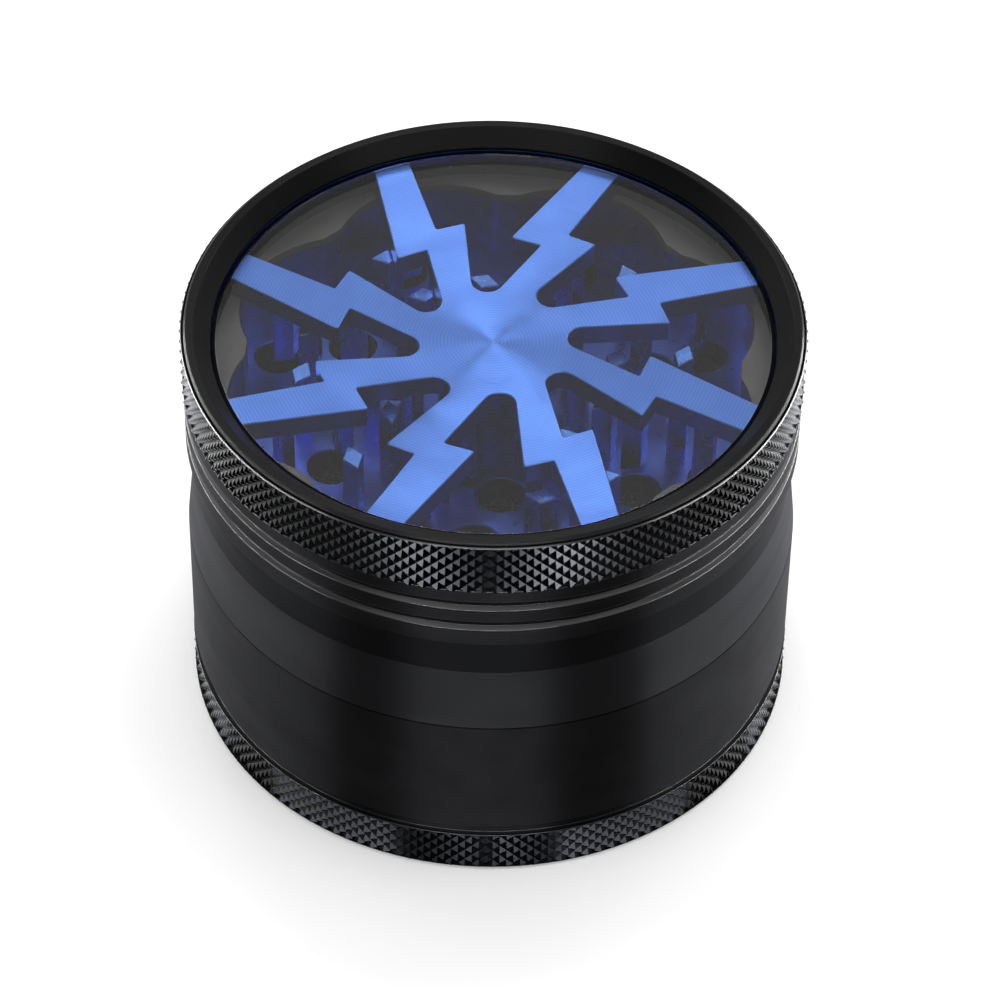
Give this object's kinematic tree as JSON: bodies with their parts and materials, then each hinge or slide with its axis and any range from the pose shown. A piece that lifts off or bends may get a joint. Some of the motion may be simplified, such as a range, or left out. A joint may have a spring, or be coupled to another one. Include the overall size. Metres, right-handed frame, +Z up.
{
  "type": "herb grinder",
  "caption": "Round four-piece screw-together herb grinder with a windowed lid over a lightning-bolt tooth star, sieve chamber and catch tray.",
  "frame": {"origin": "centre of the flat base", "axes": "+Z up along the grinder's axis, -Y towards the viewer of the front"},
  "size_m": [0.063, 0.063, 0.0474],
  "materials": {
    "black_anodised": "satin black anodised",
    "blue_anodised": "lathe-turned blue anodised",
    "clear_acrylic": "clear polished acrylic",
    "steel_mesh": "woven stainless mesh",
    "spring_steel": "bright spring steel",
    "nickel_plate": "nickel plated",
    "nylon": "natural nylon"
  },
  "bodies": {
    "tray": {"catch_tray": "black_anodised"},
    "screen_pack": {"sieve_screen": "steel_mesh", "screen_ring": "spring_steel"},
    "sieve": {"sieve_chamber": "black_anodised"},
    "chamber_core": {"chamber_magnet": "nickel_plate"},
    "chamber": {"grinding_chamber": "black_anodised", "chamber_teeth": "blue_anodised"},
    "glide": {"glide_ring": "nylon"},
    "lid": {"lid_body": "black_anodised", "star_plate": "blue_anodised", "lid_teeth": "blue_anodised", "lid_magnet": "nickel_plate", "window": "clear_acrylic", "bezel_ring": "black_anodised"}
  },
  "joints": [
    {"name": "sieve_rise", "type": "slide", "parent": "tray", "child": "screen_pack", "axis": [0, 0, 1], "range_m": [0, 0.00226]},
    {"name": "sieve_turn", "type": "hinge", "parent": "screen_pack", "child": "sieve", "pos_m": [0, 0, 0.0065], "axis": [0, 0, 1], "range_deg": [0, 540]},
    {"name": "chamber_rise", "type": "slide", "parent": "sieve", "child": "chamber_core", "axis": [0, 0, 1], "range_m": [0, 0.00226]},
    {"name": "chamber_turn", "type": "hinge", "parent": "chamber_core", "child": "chamber", "pos_m": [0, 0, 0.02135], "axis": [0, 0, 1], "range_deg": [0, 540]},
    {"name": "lid_lift", "type": "slide", "parent": "chamber", "child": "glide", "axis": [0, 0, 1], "range_m": [0, 0.02]},
    {"name": "lid_spin", "type": "hinge", "parent": "glide", "child": "lid", "pos_m": [0, 0, 0.0406], "axis": [0, 0, 1], "continuous": true}
  ],
  "couplings": [
    {"joint": "sieve_rise", "follows": "sieve_turn", "m_per_rad": 0.00023873},
    {"joint": "chamber_rise", "follows": "chamber_turn", "m_per_rad": 0.00023873}
  ]
}
